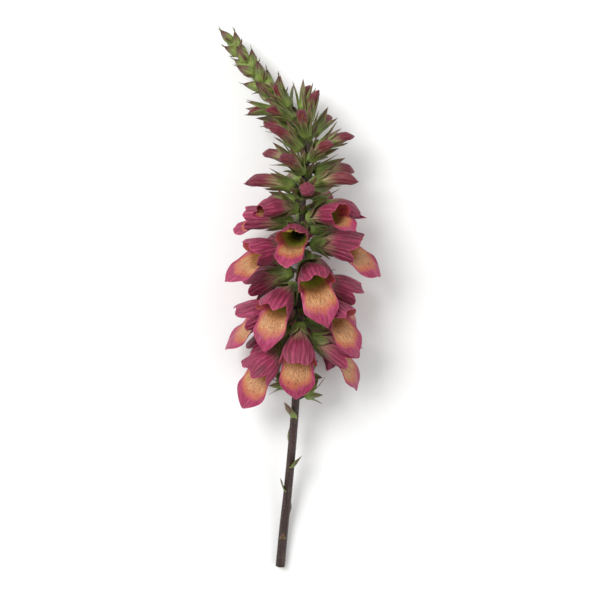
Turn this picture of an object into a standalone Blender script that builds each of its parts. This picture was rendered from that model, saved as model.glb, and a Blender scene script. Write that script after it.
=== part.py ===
"""Foxglove flower spike, cut and laid on a surface: one leafy stem, hanging bells in their calyces, and a bud head.

Frame: +Y runs from the cut end to the tip, +X to the right, +Z up from the surface, in metres.
Every bloom follows one rule: it leaves the stem at a steady step, turned by the golden angle from the one before it,
and its size, its opening and its lift are functions of how far up the spike it stands.
"""

import math
import random

import bmesh
import bpy
from mathutils import Matrix, Vector

MM = 0.001

# The frame's origin: the middle of the whole spike, on the surface.
MIDDLE_MM = (1.785, 124.14, 0)

# The stem's line, from the cut end to where the bud head starts, then the head's own line to its tip.
STEM_LINE_MM = [
    (-11.5, -55, 2.95),
    (-9, -28, 5.5),
    (-6, 0, 12),
    (-1.5, 52, 25.5),
    (1, 98, 34.5),
    (2.5, 145, 37),
    (4, 195, 36),
    (7, 225, 33.5),
    (2, 240, 31),
    (-9, 251, 28),
]
HEAD_LINE_MM = [
    (-9.6, 251.6, 27.8),
    (-21, 264.5, 24),
    (-33.5, 281.5, 18.5),
    (-45, 299, 13),
]
STEM_RADIUS_LOW, STEM_RADIUS_HIGH = 3.1 * MM, 1.7 * MM
HEAD_RADIUS_LOW, HEAD_RADIUS_HIGH = 2.6 * MM, 0.8 * MM
STEM_SIDES = 8

# The blooms: where they start on the stem, their spacing, and how they turn round it.
BLOOMS = 48
FIRST_BLOOM = 151 * MM
STEP_LOW, STEP_HIGH = 4.8 * MM, 2.95 * MM
GOLDEN_ANGLE = math.radians(137.5)
FIRST_TURN = math.radians(-52.5)
FLOWER_LENGTH, BUD_LENGTH = 52 * MM, 22 * MM
BUD_SEPAL, SEPAL_LENGTH, SPENT_SEPAL = 18.75 * MM, 15 * MM, 10 * MM
PITCHES = [(0.0, -52), (0.22, -47), (0.38, -6), (0.6, 18), (0.8, 40), (1.0, 52)]
SIDE_LIFT = math.radians(34)
SIDE_ROLL, OWN_ROLL = math.radians(36), math.radians(9)
PEDICEL_REACH = 7.2 * MM
PEDICEL_RADIUS = 1.1 * MM
BRACT_TURN = math.radians(48)
JITTER_SEED = 11

# Blooms that their neighbours push: how far round the stem and how far up, in degrees.
PUSHED = {0: (-7, -10), 1: (0, -1), 2: (17, -8), 3: (-2, 3), 6: (2, 2), 7: (2, 4), 11: (-3, 10)}

# What stands above and below the blooms.
SPENT = 4
SPENT_STEP = 8.0 * MM
STUBS = 6
HEAD_BUDS = 16

# Walls and clearances.
PETAL_THICKNESS = 0.8 * MM
SEPAL_THICKNESS = 0.7 * MM
SEAT_GAP = 0.45 * MM
FLAT_DEPTH = 0.12 * MM
WELD = 0.00002

STEM_COLOUR = (0.075, 0.035, 0.028, 1)
LEAF_COLOUR = (0.16, 0.25, 0.06, 1)
PETAL_COLOUR = (0.42, 0.06, 0.13, 1)


def clear_scene():
    for obj in list(bpy.data.objects):
        bpy.data.objects.remove(obj, do_unlink=True)


def material(name, colour, roughness):
    made = bpy.data.materials.new(name)
    made.use_nodes = True
    shader = made.node_tree.nodes["Principled BSDF"]
    shader.inputs["Base Color"].default_value = colour
    shader.inputs["Roughness"].default_value = roughness
    shader.inputs["Metallic"].default_value = 0.0
    return made


def collection(name):
    made = bpy.data.collections.new(name)
    bpy.context.scene.collection.children.link(made)
    return made


def mix(low, high, share):
    return low + (high - low) * share


def smooth(share):
    share = min(1.0, max(0.0, share))
    return share * share * (3 - 2 * share)


def between(knots, share):
    """The value at this share along a list of (share, value) knots."""
    for (before, low), (after, high) in zip(knots, knots[1:]):
        if share <= after:
            return mix(low, high, (share - before) / (after - before))
    return knots[-1][1]


class Line:
    """A smooth curve through points, read by the distance along it."""

    def __init__(self, points_mm, steps=24):
        points = [(Vector(point) - Vector(MIDDLE_MM)) * MM for point in points_mm]
        padded = [points[0] * 2 - points[1], *points, points[-1] * 2 - points[-2]]
        self.samples = [points[0]]
        for a, b, c, d in zip(padded, padded[1:], padded[2:], padded[3:]):
            for step in range(1, steps + 1):
                t = step / steps
                along = (c - a) * t + (a * 2 - b * 5 + c * 4 - d) * t**2
                self.samples.append(b + (along + (b * 3 - a - c * 3 + d) * t**3) / 2)
        self.marks = [0.0]
        for before, after in zip(self.samples, self.samples[1:]):
            self.marks.append(self.marks[-1] + (after - before).length)
        self.length = self.marks[-1]

    def at(self, distance):
        """The point and the direction of the curve there."""
        distance = min(max(distance, 0.0), self.length)
        index = next(i for i, mark in enumerate(self.marks[1:]) if mark >= distance)
        low, high = self.samples[index], self.samples[index + 1]
        share = (distance - self.marks[index]) / (self.marks[index + 1] - self.marks[index])
        return low.lerp(high, share), (high - low).normalized()


STEM = Line(STEM_LINE_MM)
HEAD = Line(HEAD_LINE_MM)


def side_frame(line, distance, turn, pitch):
    """The frame of what grows from a line: +Z leaves it at this turn from straight up, +Y looks to the tip."""
    point, tangent = line.at(distance)
    right = tangent.cross(Vector((0, 0, 1))).normalized()
    above = right.cross(tangent)
    outward = above * math.cos(turn) + right * math.sin(turn)
    axis = outward * math.cos(pitch) + tangent * math.sin(pitch)
    back = tangent * math.cos(pitch) - outward * math.sin(pitch)
    across = back.cross(axis)
    turned = Matrix((across, back, axis)).transposed().to_4x4()
    return Matrix.Translation(point) @ turned


# ---------------------------------------------------------------- the petal tube of one flower


class Flower:
    """How far one flower is open, its sizes, and its habit: from -1, a straight lip, to 1, a curled one."""

    def __init__(self, length, opening, habit, sepal):
        self.length = length
        self.opening = opening
        self.habit = habit
        self.sepal = sepal
        self.tube = length * mix(0.68, 0.50, opening)
        self.mouth = length * mix(0.110, 0.195, opening)
        self.neck = length * mix(0.066, 0.062, opening)
        self.bend = math.radians(mix(8, 24, opening))

    def radius(self, height):
        """The tube's radius: a narrow neck in the calyx that swells into the bell."""
        share = height / self.tube
        start = math.sqrt(smooth(share / 0.09)) if share < 0.09 else 1.0
        return start * mix(self.neck, self.mouth, smooth((share - 0.08) / 0.86))


SPENT_FLOWER = Flower(34 * MM, 0.9, 0.0, SPENT_SEPAL)


def lobe(turn, centre, half_width, sharpness):
    """A rounded lobe's reach, 1 at its centre and 0 at its two notches."""
    share = abs((turn - centre + math.pi) % math.tau - math.pi) / half_width
    return (1 - share**sharpness) ** 0.7 if share < 1 else 0.0


def petal_point(flower, turn, share):
    """A point of the petal tube: up the bell along one meridian, out over its lobe, then bent down.

    Turn 0 is the middle of the long lower lip; the side lobes stand at a quarter turn, the notched hood behind.
    """
    lower = lobe(turn, 0, math.radians(60), 2.0)
    sides = max(lobe(turn, sign * math.radians(90), math.radians(30), 2.2) for sign in (1, -1))
    notch = math.exp(-(((turn - math.pi) / math.radians(13)) ** 2))
    upper = lobe(turn, math.pi, math.radians(60), 3.0) * (1 - 0.30 * notch)
    length, opening = flower.length, flower.opening
    lobes = mix(0.20, 0.60 * lower + 0.12 * sides + 0.20 * upper, opening**1.3)
    reach = length * lobes * mix(0.70, 1.0, opening)
    curl = ((1.0 + 0.5 * flower.habit) * lower + 1.2 * sides - 0.8 * upper) / length * mix(0.3, 1.0, opening) + 1e-6
    edge = flower.tube * (1 - 0.05 * (1 - math.cos(turn)) * opening)
    along = share * (edge + reach)
    past = max(0.0, along - edge)
    pinch = 1 - (1 - opening) * 0.65 * smooth(past / max(reach, WELD))
    if along <= edge:
        radius, height = flower.radius(along), along
    else:
        lean = math.radians(mix(-2, 5, opening))
        turned = lean + curl * past
        radius = (flower.radius(edge) + (math.cos(lean) - math.cos(turned)) / curl) * pinch
        height = edge + (math.sin(turned) - math.sin(lean)) / curl
    widen = 1 + 0.16 * opening * smooth(height / flower.tube - 0.3)
    on_lip = smooth(past / (0.25 * length)) if lower > 0 else 0
    cup = 1 - 1.4 * on_lip * opening
    flared = flower.radius(edge) * pinch * (1 + 0.42 * smooth(past / (0.36 * length)) * opening)
    x = mix(radius, flared, on_lip) * math.sin(turn) * widen
    y = radius * ((1 - math.cos(turn)) * cup - 1) / widen
    start = 0.26 * length
    if height <= start:
        return Vector((x, y, height))
    bent = (length - start) / flower.bend
    angle = (height - start) / bent
    return Vector((x, (bent + y) * math.cos(angle) - bent, start + (bent + y) * math.sin(angle)))


def sepal_point(flower, turn, share):
    """A point of the calyx: a cup round the tube's neck that ends in five pointed sepals."""
    reach = mix(0.105 * flower.length, flower.sepal, abs((turn * 5 / math.tau) % 1 - 0.5) * 2)
    height = reach * share
    clear = PETAL_THICKNESS / 2 + SEPAL_THICKNESS / 2 + SEAT_GAP
    inner = flower.radius(max(height, 0.10 * flower.tube)) + clear
    radius = inner / math.cos(math.pi / 10) + 0.04 * height
    radius *= math.sqrt(smooth(share * reach / (0.06 * flower.length)))
    return Vector((radius * math.sin(turn), -radius * math.cos(turn), height - clear))


def sheet(name, around, along, place):
    """An open surface, closed round its turn and at its foot: a grid whose points place(turn, share) moves."""
    mesh = bpy.data.meshes.new(name)
    grid = bmesh.new()
    bmesh.ops.create_grid(grid, x_segments=around, y_segments=along, size=0.5)
    for vertex in grid.verts:
        turn = (vertex.co.x + 0.5) * math.tau
        vertex.co = place(turn, vertex.co.y + 0.5)
    bmesh.ops.remove_doubles(grid, verts=grid.verts, dist=WELD)
    bmesh.ops.triangulate(grid, faces=grid.faces)
    bmesh.ops.recalc_face_normals(grid, faces=grid.faces)
    grid.to_mesh(mesh)
    grid.free()
    return mesh


def press_on_surface(mesh, frame):
    """Petals that would dip below the surface lie on it, a touch deeper than the flat that is cut there."""
    back = frame.inverted()
    for vertex in mesh.vertices:
        placed = frame @ vertex.co
        placed.z = max(placed.z, PETAL_THICKNESS / 2 - FLAT_DEPTH)
        vertex.co = back @ placed


def cut_flat(obj, surface):
    """Whatever passes below the surface is cut off level with it."""
    cut = obj.modifiers.new("Flat", "BOOLEAN")
    cut.operation = "DIFFERENCE"
    cut.object = surface
    cut.solver = "MANIFOLD"


def wall(obj, thickness):
    """Give an open surface its thickness, half to each side."""
    solid = obj.modifiers.new("Wall", "SOLIDIFY")
    solid.thickness = thickness
    solid.offset = 0
    return obj


# ---------------------------------------------------------------- where each bloom stands


class Bloom:
    """The place and the state of one bloom on the stem."""

    def __init__(self, index, chance):
        share = index / (BLOOMS - 1)
        self.index = index
        self.share = share
        steps = [mix(STEP_LOW, STEP_HIGH, smooth((step - 9) / 9)) for step in range(index)]
        self.distance = FIRST_BLOOM + sum(steps)
        aside, lifted = PUSHED.get(index, (0, 0))
        self.turn = FIRST_TURN + index * GOLDEN_ANGLE + math.radians(aside + chance.uniform(-3, 3))
        pitch = math.radians(between(PITCHES, share) + chance.uniform(-4, 4))
        hanging = smooth((0.5 - share) * 4)
        self.pitch = pitch + SIDE_LIFT * abs(math.sin(self.turn)) * hanging + math.radians(lifted)
        length = mix(FLOWER_LENGTH, BUD_LENGTH, max(0.0, (share - 0.3) / 0.7) ** 0.9)
        opening = 1 - smooth((share - 0.22) / 0.45)
        length *= chance.uniform(0.93, 1.0)
        self.flower = Flower(length, opening, math.sin(index * 2.4), mix(BUD_SEPAL, SEPAL_LENGTH, opening))
        self.open = opening > 0.3

    def frame(self):
        foot = side_frame(STEM, self.distance, self.turn, math.radians(25))
        seat = side_frame(STEM, self.distance, self.turn, self.pitch)
        roll = SIDE_ROLL * math.sin(self.turn) + OWN_ROLL * math.sin(self.index * 4.1)
        seat = seat @ Matrix.Rotation(roll, 4, "Z")
        seat.translation = foot @ Vector((0, 0, PEDICEL_REACH))
        return seat


# ---------------------------------------------------------------- solids that are joined


def piece(name, mesh, frame, pieces):
    obj = bpy.data.objects.new(name, mesh)
    pieces.objects.link(obj)
    obj.matrix_world = frame
    return obj


def tapering_tube(name, line, radius_low, radius_high, steps, pieces):
    """A tube along a line, narrowing to its end, with welded caps."""
    data = bpy.data.curves.new(name, "CURVE")
    data.dimensions = "3D"
    data.bevel_depth = 1.0
    data.bevel_resolution = STEM_SIDES // 2 - 2
    data.use_fill_caps = True
    data.twist_mode = "MINIMUM"
    spline = data.splines.new("POLY")
    spline.points.add(steps)
    for index, point in enumerate(spline.points):
        share = index / steps
        point.co = (*line.at(share * line.length)[0], 1)
        point.radius = mix(radius_low, radius_high, share)
    curve = bpy.data.objects.new(name, data)
    bpy.context.scene.collection.objects.link(curve)
    graph = bpy.context.evaluated_depsgraph_get()
    mesh = bpy.data.meshes.new_from_object(curve.evaluated_get(graph))
    bpy.data.objects.remove(curve)
    welded = bmesh.new()
    welded.from_mesh(mesh)
    bmesh.ops.remove_doubles(welded, verts=welded.verts, dist=WELD)
    bmesh.ops.recalc_face_normals(welded, faces=welded.faces)
    welded.to_mesh(mesh)
    welded.free()
    return piece(name, mesh, Matrix.Identity(4), pieces)


def spindle(name, sides, rings, length, width, depth, curl, frame, pieces):
    """A closed pointed body along +Z: widest a third of the way up, curled toward +Y."""

    def place(turn, share):
        swell = math.sin(math.pi * share**0.72) ** 0.8 if 0 < share < 1 else 0.0
        lean = curl * length * share**2
        return Vector((math.sin(turn) * width * swell, lean - math.cos(turn) * depth * swell, share * length))

    return piece(name, sheet(name, sides, rings, place), frame, pieces)


def pedicel(bloom, pieces):
    """The little stalk from the stem's core to the calyx."""
    start = STEM.at(bloom.distance)[0]
    end = bloom.frame() @ Vector((0, 0, -1.0 * MM))
    way = end - start
    mesh = bpy.data.meshes.new("pedicel")
    made = bmesh.new()
    bmesh.ops.create_cone(
        made, cap_ends=True, segments=4, radius1=PEDICEL_RADIUS, radius2=PEDICEL_RADIUS, depth=way.length
    )
    bmesh.ops.translate(made, verts=made.verts, vec=(0, 0, way.length / 2))
    made.to_mesh(mesh)
    made.free()
    frame = Matrix.Translation(start) @ way.to_track_quat("Z", "Y").to_matrix().to_4x4()
    piece("pedicel", mesh, frame, pieces)


def bract(line, distance, turn, length, width, pitch, pieces):
    """A narrow leaf that grows from the stem beside a flower."""
    frame = side_frame(line, distance, turn, pitch)
    spindle("bract", 4, 2, length, width, 0.5 * MM, 0.12, frame, pieces)


def make_corolla(number, bloom, finish, parts, surface):
    if bloom.open:
        around, along = (16, 4) if bloom.flower.opening > 0.8 else (14, 3)
    else:
        around, along = (8, 3) if bloom.share < 0.75 else (8, 2)
    mesh = sheet("corolla", around, along, lambda turn, share: petal_point(bloom.flower, turn, share))
    press_on_surface(mesh, bloom.frame())
    mesh.materials.append(finish)
    mesh.shade_smooth()
    corolla = piece(f"corolla_{number:02d}", mesh, bloom.frame(), parts)
    wall(corolla, PETAL_THICKNESS)
    if min((bloom.frame() @ vertex.co).z for vertex in mesh.vertices) < PETAL_THICKNESS:
        cut_flat(corolla, surface)


def make_calyx(flower, frame, pieces):
    mesh = sheet("calyx", 10, 2, lambda turn, share: sepal_point(flower, turn, share))
    return wall(piece("calyx", mesh, frame, pieces), SEPAL_THICKNESS)


def bake(obj):
    """Apply an object's modifiers to its mesh."""
    graph = bpy.context.evaluated_depsgraph_get()
    made = bpy.data.meshes.new_from_object(obj.evaluated_get(graph))
    obj.modifiers.clear()
    obj.data = made


def join(name, pieces, finish, parts):
    """One solid from every piece of a collection, which is then emptied."""
    first, *rest = list(pieces.objects)
    for member in [first, *rest]:
        if member.modifiers:
            bake(member)
    others = bpy.data.collections.new(name + "_others")
    for member in rest:
        pieces.objects.unlink(member)
        others.objects.link(member)
    union = first.modifiers.new("Union", "BOOLEAN")
    union.operation = "UNION"
    union.operand_type = "COLLECTION"
    union.collection = others
    union.solver = "MANIFOLD"
    bake(first)
    for member in list(others.objects):
        bpy.data.objects.remove(member, do_unlink=True)
    bpy.data.collections.remove(others)
    pieces.objects.unlink(first)
    parts.objects.link(first)
    first.name = name
    first.data.materials.clear()
    first.data.materials.append(finish)
    first.data.shade_smooth()


# ---------------------------------------------------------------- the leafy stem and the bud head


def make_stem(blooms, finish, parts, pieces, surface):
    tapering_tube("stem", STEM, STEM_RADIUS_LOW, STEM_RADIUS_HIGH, 22, pieces)
    for bloom in blooms:
        pedicel(bloom, pieces)
        make_calyx(bloom.flower, bloom.frame(), pieces)
        side = BRACT_TURN if bloom.index % 2 else -BRACT_TURN
        pitch = math.radians(mix(-40, 45, smooth(bloom.share * 1.3)))
        length, width = mix(14, 15, bloom.share) * MM, mix(2.0, 2.5, bloom.share) * MM
        bract(STEM, bloom.distance - 1.0 * MM, bloom.turn + side, length, width, pitch, pieces)
    for index in range(SPENT):
        spent_calyx(index, pieces)
    for index in range(STUBS):
        share = index / (STUBS - 1)
        length, width = mix(11, 19, share) * MM, mix(2.3, 3.6, share) * MM
        pitch = math.radians(mix(56, 50, share))
        bract(STEM, mix(14, 102, share) * MM, index * GOLDEN_ANGLE, length, width, pitch, pieces)
    join("stem", pieces, finish, parts)
    cut_flat(parts.objects["stem"], surface)


def spent_calyx(index, pieces):
    """A calyx whose bell has fallen, open like a small star, with its bract."""
    distance = FIRST_BLOOM - 10 * MM - index * SPENT_STEP
    turn = FIRST_TURN - (index + 1) * GOLDEN_ANGLE
    pitch = math.radians(mix(8, 24, (index * 0.618) % 1))
    frame = side_frame(STEM, distance, turn, pitch) @ Matrix.Translation((0, 0, PEDICEL_REACH))
    stalk = side_frame(STEM, distance, turn, pitch)
    spindle("spent_pedicel", 5, 2, PEDICEL_REACH + 1.5 * MM, 1.3 * MM, 1.3 * MM, 0.0, stalk, pieces)
    make_calyx(SPENT_FLOWER, frame, pieces)
    bract(STEM, distance - 1.0 * MM, turn + BRACT_TURN, 13 * MM, 2.1 * MM, math.radians(30), pieces)


def make_head(finish, parts, pieces):
    tapering_tube("bud_head", HEAD, HEAD_RADIUS_LOW, HEAD_RADIUS_HIGH, 8, pieces)
    for index in range(HEAD_BUDS):
        share = index / (HEAD_BUDS - 1)
        distance = HEAD.length * mix(0.05, 0.93, share)
        turn = FIRST_TURN + (BLOOMS + index) * GOLDEN_ANGLE
        habit = math.sin(index * 2.4)
        length = mix(18, 13, share) * (1 + 0.08 * habit) * MM
        lift = math.radians(mix(40, 62, share) + 6 * habit)
        frame = side_frame(HEAD, distance, turn, lift)
        spindle("bud", 6, 3, length, mix(4.3, 3.1, share) * MM, mix(3.6, 2.6, share) * MM, 0.10, frame, pieces)
        bract(HEAD, distance - 1.5 * MM, turn, length * 0.7, 1.6 * MM, lift - math.radians(28), pieces)
    join("bud_head", pieces, finish, parts)


def surface_block(helpers):
    """The cutter for the flats: a slab whose top is the surface the spike lies on."""
    mesh = bpy.data.meshes.new("surface")
    made = bmesh.new()
    bmesh.ops.create_cube(made, size=1.0)
    bmesh.ops.scale(made, vec=(0.4, 0.8, 0.02), verts=made.verts)
    bmesh.ops.translate(made, vec=(0, 0, -0.01), verts=made.verts)
    made.to_mesh(mesh)
    made.free()
    slab = piece("surface", mesh, Matrix.Identity(4), helpers)
    slab.hide_render = True
    slab.display_type = "WIRE"
    return slab


def main():
    clear_scene()
    parts = collection("foxglove_flower_spike")
    pieces = collection("pieces")
    helpers = collection("helpers")
    helpers.hide_render = True
    surface = surface_block(helpers)
    stem_finish = material("green_stem", STEM_COLOUR, 0.7)
    leaf_finish = material("green_bud", LEAF_COLOUR, 0.6)
    petal_finish = material("petal", PETAL_COLOUR, 0.5)
    chance = random.Random(JITTER_SEED)
    blooms = [Bloom(index, chance) for index in range(BLOOMS)]
    make_stem(blooms, stem_finish, parts, pieces, surface)
    make_head(leaf_finish, parts, pieces)
    for number, bloom in enumerate(blooms, 1):
        make_corolla(number, bloom, petal_finish, parts, surface)
    bpy.data.collections.remove(pieces)


main()
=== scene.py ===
"""A cut foxglove flower spike on a pale surface: its leafy stem, its bells and its bud head.

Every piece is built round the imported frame. The file is an add-on: sizes and colours are properties, and each
group of pieces is made by its own operator. +Y runs from the cut end to the tip and +Z up, in metres.
"""

import random
from math import cos, pi, radians, sin, tau

import bmesh
import bpy
import numpy as np
from bpy.props import FloatProperty, FloatVectorProperty, IntProperty, PointerProperty
from bpy.types import Operator, Panel, PropertyGroup
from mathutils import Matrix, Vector


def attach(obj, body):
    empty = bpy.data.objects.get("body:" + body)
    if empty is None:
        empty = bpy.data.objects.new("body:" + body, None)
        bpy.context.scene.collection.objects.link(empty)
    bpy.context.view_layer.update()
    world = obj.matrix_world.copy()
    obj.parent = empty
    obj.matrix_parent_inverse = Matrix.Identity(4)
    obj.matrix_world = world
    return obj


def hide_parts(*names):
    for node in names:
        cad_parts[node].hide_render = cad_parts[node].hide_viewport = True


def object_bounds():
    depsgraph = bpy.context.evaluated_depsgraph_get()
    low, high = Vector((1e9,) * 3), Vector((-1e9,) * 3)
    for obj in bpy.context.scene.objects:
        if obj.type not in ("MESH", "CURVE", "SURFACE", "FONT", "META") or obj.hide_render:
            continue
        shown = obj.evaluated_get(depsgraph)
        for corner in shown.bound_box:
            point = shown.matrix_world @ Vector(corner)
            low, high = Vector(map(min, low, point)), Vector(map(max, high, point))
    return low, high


bl_info = {
    "name": "Foxglove flower spike",
    "version": (1, 0, 0),
    "blender": (4, 5, 0),
    "location": "View3D > Sidebar > Foxglove",
    "description": "Grows a cut foxglove spike, with its bells, calyces, bud head and hairs",
    "category": "Add Mesh",
}

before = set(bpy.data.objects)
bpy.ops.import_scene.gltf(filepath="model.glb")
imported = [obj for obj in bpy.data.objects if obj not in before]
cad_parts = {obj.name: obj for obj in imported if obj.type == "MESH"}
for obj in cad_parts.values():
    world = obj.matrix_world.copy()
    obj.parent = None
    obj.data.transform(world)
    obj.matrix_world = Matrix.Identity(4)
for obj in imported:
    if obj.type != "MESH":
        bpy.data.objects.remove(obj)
CAD_BOX = [list(corner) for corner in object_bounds()]
MM = 0.001

# The stem's line in millimetres, from the cut end to the bud head, then the head's line to its tip.
MIDDLE_MM = (1.785, 124.14, 0)
STEM_LINE_MM = [
    (-11.5, -55, 2.95),
    (-9, -28, 5.5),
    (-6, 0, 12),
    (-1.5, 52, 25.5),
    (1, 98, 34.5),
    (2.5, 145, 37),
    (4, 195, 36),
    (7, 225, 33.5),
    (2, 240, 31),
    (-9, 251, 28),
]
HEAD_LINE_MM = [(-9.6, 251.6, 27.8), (-21, 264.5, 24), (-33.5, 281.5, 18.5), (-45, 299, 13)]
STEM_RINGS, STEM_SIDES, STEM_RIBS, RIB_DEPTH = 160, 36, 6, 0.05

# The blooms: how many, where they start, their spacing, and how they turn round the stem.
BLOOMS = 48
FIRST_BLOOM = 151 * MM
STEP_LOW, STEP_HIGH = 4.8 * MM, 2.95 * MM
GOLDEN_ANGLE = radians(137.5)
FIRST_TURN = radians(-52.5)
PITCHES = [(0, -52), (0.22, -47), (0.38, -6), (0.6, 18), (0.8, 40), (1, 52)]
SIDE_LIFT = radians(34)
SIDE_ROLL, OWN_ROLL = radians(36), radians(9)
PEDICEL_REACH, PEDICEL_PITCH = 7.2 * MM, radians(25)
BRACT_TURN = radians(48)

# A few blooms are pushed aside and lifted by their neighbours, and all of them vary a little: in degrees.
PUSHED = {0: (-7, -10), 1: (0, -1), 2: (17, -8), 3: (-2, 3), 6: (2, 2), 7: (2, 4), 11: (-3, 10)}
TURN_PLAY, PITCH_PLAY = 3, 4
SHORTEST = 0.93

# Shares of the flowering length: bells are wide open up to the first and closed from the second on.
WIDE_OPEN, ALL_CLOSED = 0.22, 0.67
# How far open a flower is when it shows its stamens, and when its lips start to shut into a beak.
SHOWS_STAMENS, SHUTS_BELOW = 0.3, 0.62

# The lobes of a bell: half widths, and as shares of its length their reach and how strongly they curl.
WIDE_LOBE, SIDE_LOBE = radians(60), radians(30)
TONGUE_REACH, POINT_REACH, SIDE_REACH, HOOD_REACH, RIM_REACH = 0.53, 0.040, 0.09, 0.165, 0.035
TONGUE_CURL, SIDE_CURL, HOOD_CURL = 1.0, 1.2, -1.4
NEVER_STRAIGHT = 1e-6
# Each stamen's turn in degrees, and how far up the tube it reaches.
STAMENS = ((152, 0.98), (208, 0.98), (128, 0.84), (232, 0.84))

SPENT = 4
SPENT_STEP = 8.0 * MM
STUBS = 6
HEAD_BUDS = 16
BUD_CURL = 0.10
BLADE_DEPTH, BLADE_FOLD, BLADE_WAVE, BLADE_GRID = 0.35 * MM, 0.35, 0.35 * MM, 14
HAIR_RADIUS = 0.045 * MM
SEAT_GAP = 0.45 * MM
CLEAR, HAIR_CLEAR = 0.03 * MM, 0.02 * MM
WELD = 1e-6
FLOOR_REACH, LAMP_SIZE = 6.0, 0.9
SENSOR = 36.0

# Where each finish stands in the list of its piece: the leafy stem's, a bell's and the bud head's.
STEM_SKIN, SEPAL_GREEN, OLD_STYLE = range(3)
BELL_OUTSIDE, BELL_INSIDE, STAMEN, STYLE = range(4)
BUD_GREEN, HEAD_SKIN = range(2)


# ---- sizes and colours


def a_length(description, millimetres):
    return FloatProperty(description=description, default=millimetres * MM, min=0.0, unit="LENGTH")


def an_amount(description, amount):
    return FloatProperty(description=description, default=amount, min=0.0)


def a_count(description, count):
    return IntProperty(description=description, default=count, min=0)


def a_colour(description, colour):
    return FloatVectorProperty(description=description, default=colour, min=0.0, max=1.0, subtype="COLOR")


class SpikeSizes(PropertyGroup):
    flower: a_length("Length of the lowest flowers", 52)
    bud: a_length("Length of the topmost coloured bud", 22)
    petal: a_length("Thickness of a petal", 0.5)
    sepal: a_length("Thickness of a sepal", 0.45)
    bud_sepal: a_length("Length of a sepal round a closed bud", 18.75)
    open_sepal: a_length("Length of a sepal round an open bell", 15)
    spent_sepal: a_length("Length of a sepal whose bell has fallen", 10)
    stem_low: a_length("Stem's radius at its cut end", 3.1)
    stem_high: a_length("Stem's radius where the bud head starts", 1.7)
    head_low: a_length("Stem's radius at the foot of the bud head", 2.6)
    head_high: a_length("Stem's radius at the tip of the bud head", 0.8)
    wave: a_length("How far the edge of a lip waves", 0.40)
    hair: a_length("Length of the hairs on stem and sepals", 0.9)
    stem_hairs: a_count("Number of hairs on the stem", 5200)
    sepal_hairs: a_count("Number of hairs on each calyx", 110)


class SpikeColours(PropertyGroup):
    raspberry: a_colour("Outside of the bells", (0.320, 0.012, 0.078))
    # Painted highlight: pale pink laid on the raised bands and margins of the bells and in streaks on their
    # lips.
    rose_highlight: a_colour("Light bands outside the bells", (0.64, 0.088, 0.215))
    crimson: a_colour("Shaded folds and young bells", (0.125, 0.006, 0.016))
    cream: a_colour("Pale neck of a bell, in its calyx", (0.60, 0.56, 0.27))
    apricot: a_colour("Tongue of a bell", (0.52, 0.225, 0.085))
    speckle: a_colour("Dashes on the tongue", (0.105, 0.022, 0.012))
    throat: a_colour("Inside of the tube", (0.22, 0.24, 0.015))
    green: a_colour("Sepals and bracts", (0.078, 0.108, 0.018))
    young_green: a_colour("Buds of the head", (0.105, 0.150, 0.022))
    purple: a_colour("Tips of sepals and bracts", (0.120, 0.036, 0.034))
    stem: a_colour("Skin of the stem", (0.022, 0.008, 0.007))
    anther: a_colour("Anthers", (0.72, 0.50, 0.06))


class StudioSettings(PropertyGroup):
    lens: an_amount("Focal length of the camera, in millimetres", 85.0)
    width: a_length("Width that the camera takes in", 388)
    key: an_amount("Power of the large soft light, in watts", 16.5)
    fill: an_amount("Power of the light opposite, in watts", 3.2)
    sky: an_amount("Strength of the room's even light", 0.56)
    floor: a_colour("Pale surface under the spike", (0.985, 0.985, 0.98))


# ---- grids of points


def rise(share):
    """0 below 0, 1 above 1, and 3x^2 - 2x^3 between."""
    share = np.clip(share, 0.0, 1.0)
    return share * share * (3 - 2 * share)


def hump(offset, width):
    """1 where the offset is 0, falling off to both sides: e to the power of -(offset / width)^2."""
    return np.exp(-((offset / width) ** 2))


def mix(low, high, share):
    return low + (high - low) * share


def unit(vectors):
    """Vectors divided by their lengths."""
    return vectors / np.maximum(np.linalg.norm(vectors, axis=-1, keepdims=True), 1e-12)


def vector(x, y, z):
    """Three numbers or arrays as one array of points."""
    return np.stack(np.broadcast_arrays(x, y, z), -1).astype(float)


def seat(points, place):
    """Points turned by a frame's three directions, then moved to its origin."""
    turned, origin = place
    return points @ turned.T + origin


def above_surface(points, least):
    """Points that would dip below the surface lie on it."""
    lifted = points.copy()
    lifted[..., 2] = np.maximum(points[..., 2], least)
    return lifted


def distances(points):
    """How far along a path each of its points is."""
    return np.append(0, np.cumsum(np.linalg.norm(np.diff(points, axis=0), axis=1)))


class Line:
    """A Catmull-Rom curve through points, read by the distance along it."""

    def __init__(self, points_mm, steps=60):
        knots = (np.array(points_mm, float) - MIDDLE_MM) * MM
        knots = np.vstack([2 * knots[0] - knots[1], knots, 2 * knots[-1] - knots[-2]])
        a, b, c, d = (knots[first : len(knots) - 3 + first, None] for first in range(4))
        t = (np.arange(1, steps + 1) / steps)[None, :, None]
        run = b + ((c - a) * t + (2 * a - 5 * b + 4 * c - d) * t**2 + (3 * b - a - 3 * c + d) * t**3) / 2
        self.samples = np.vstack([knots[1:2], run.reshape(-1, 3)])
        self.marks = distances(self.samples)
        self.slopes = np.gradient(self.samples, self.marks, axis=0)
        self.length = self.marks[-1]

    def at(self, distance):
        """The points and the directions at these distances."""
        point, way = (
            np.stack([np.interp(distance, self.marks, table[:, axis]) for axis in range(3)], -1)
            for table in (self.samples, self.slopes)
        )
        return point, unit(way)


STEM = Line(STEM_LINE_MM)
HEAD = Line(HEAD_LINE_MM)


def side_of(line, distance, turn):
    """The point at a distance along a line, the line's direction and the way out, turned from straight up."""
    point, tangent = line.at(distance)
    right = unit(np.cross(tangent, (0, 0, 1)))
    return point, tangent, np.cross(right, tangent) * np.cos(turn) + right * np.sin(turn)


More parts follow.
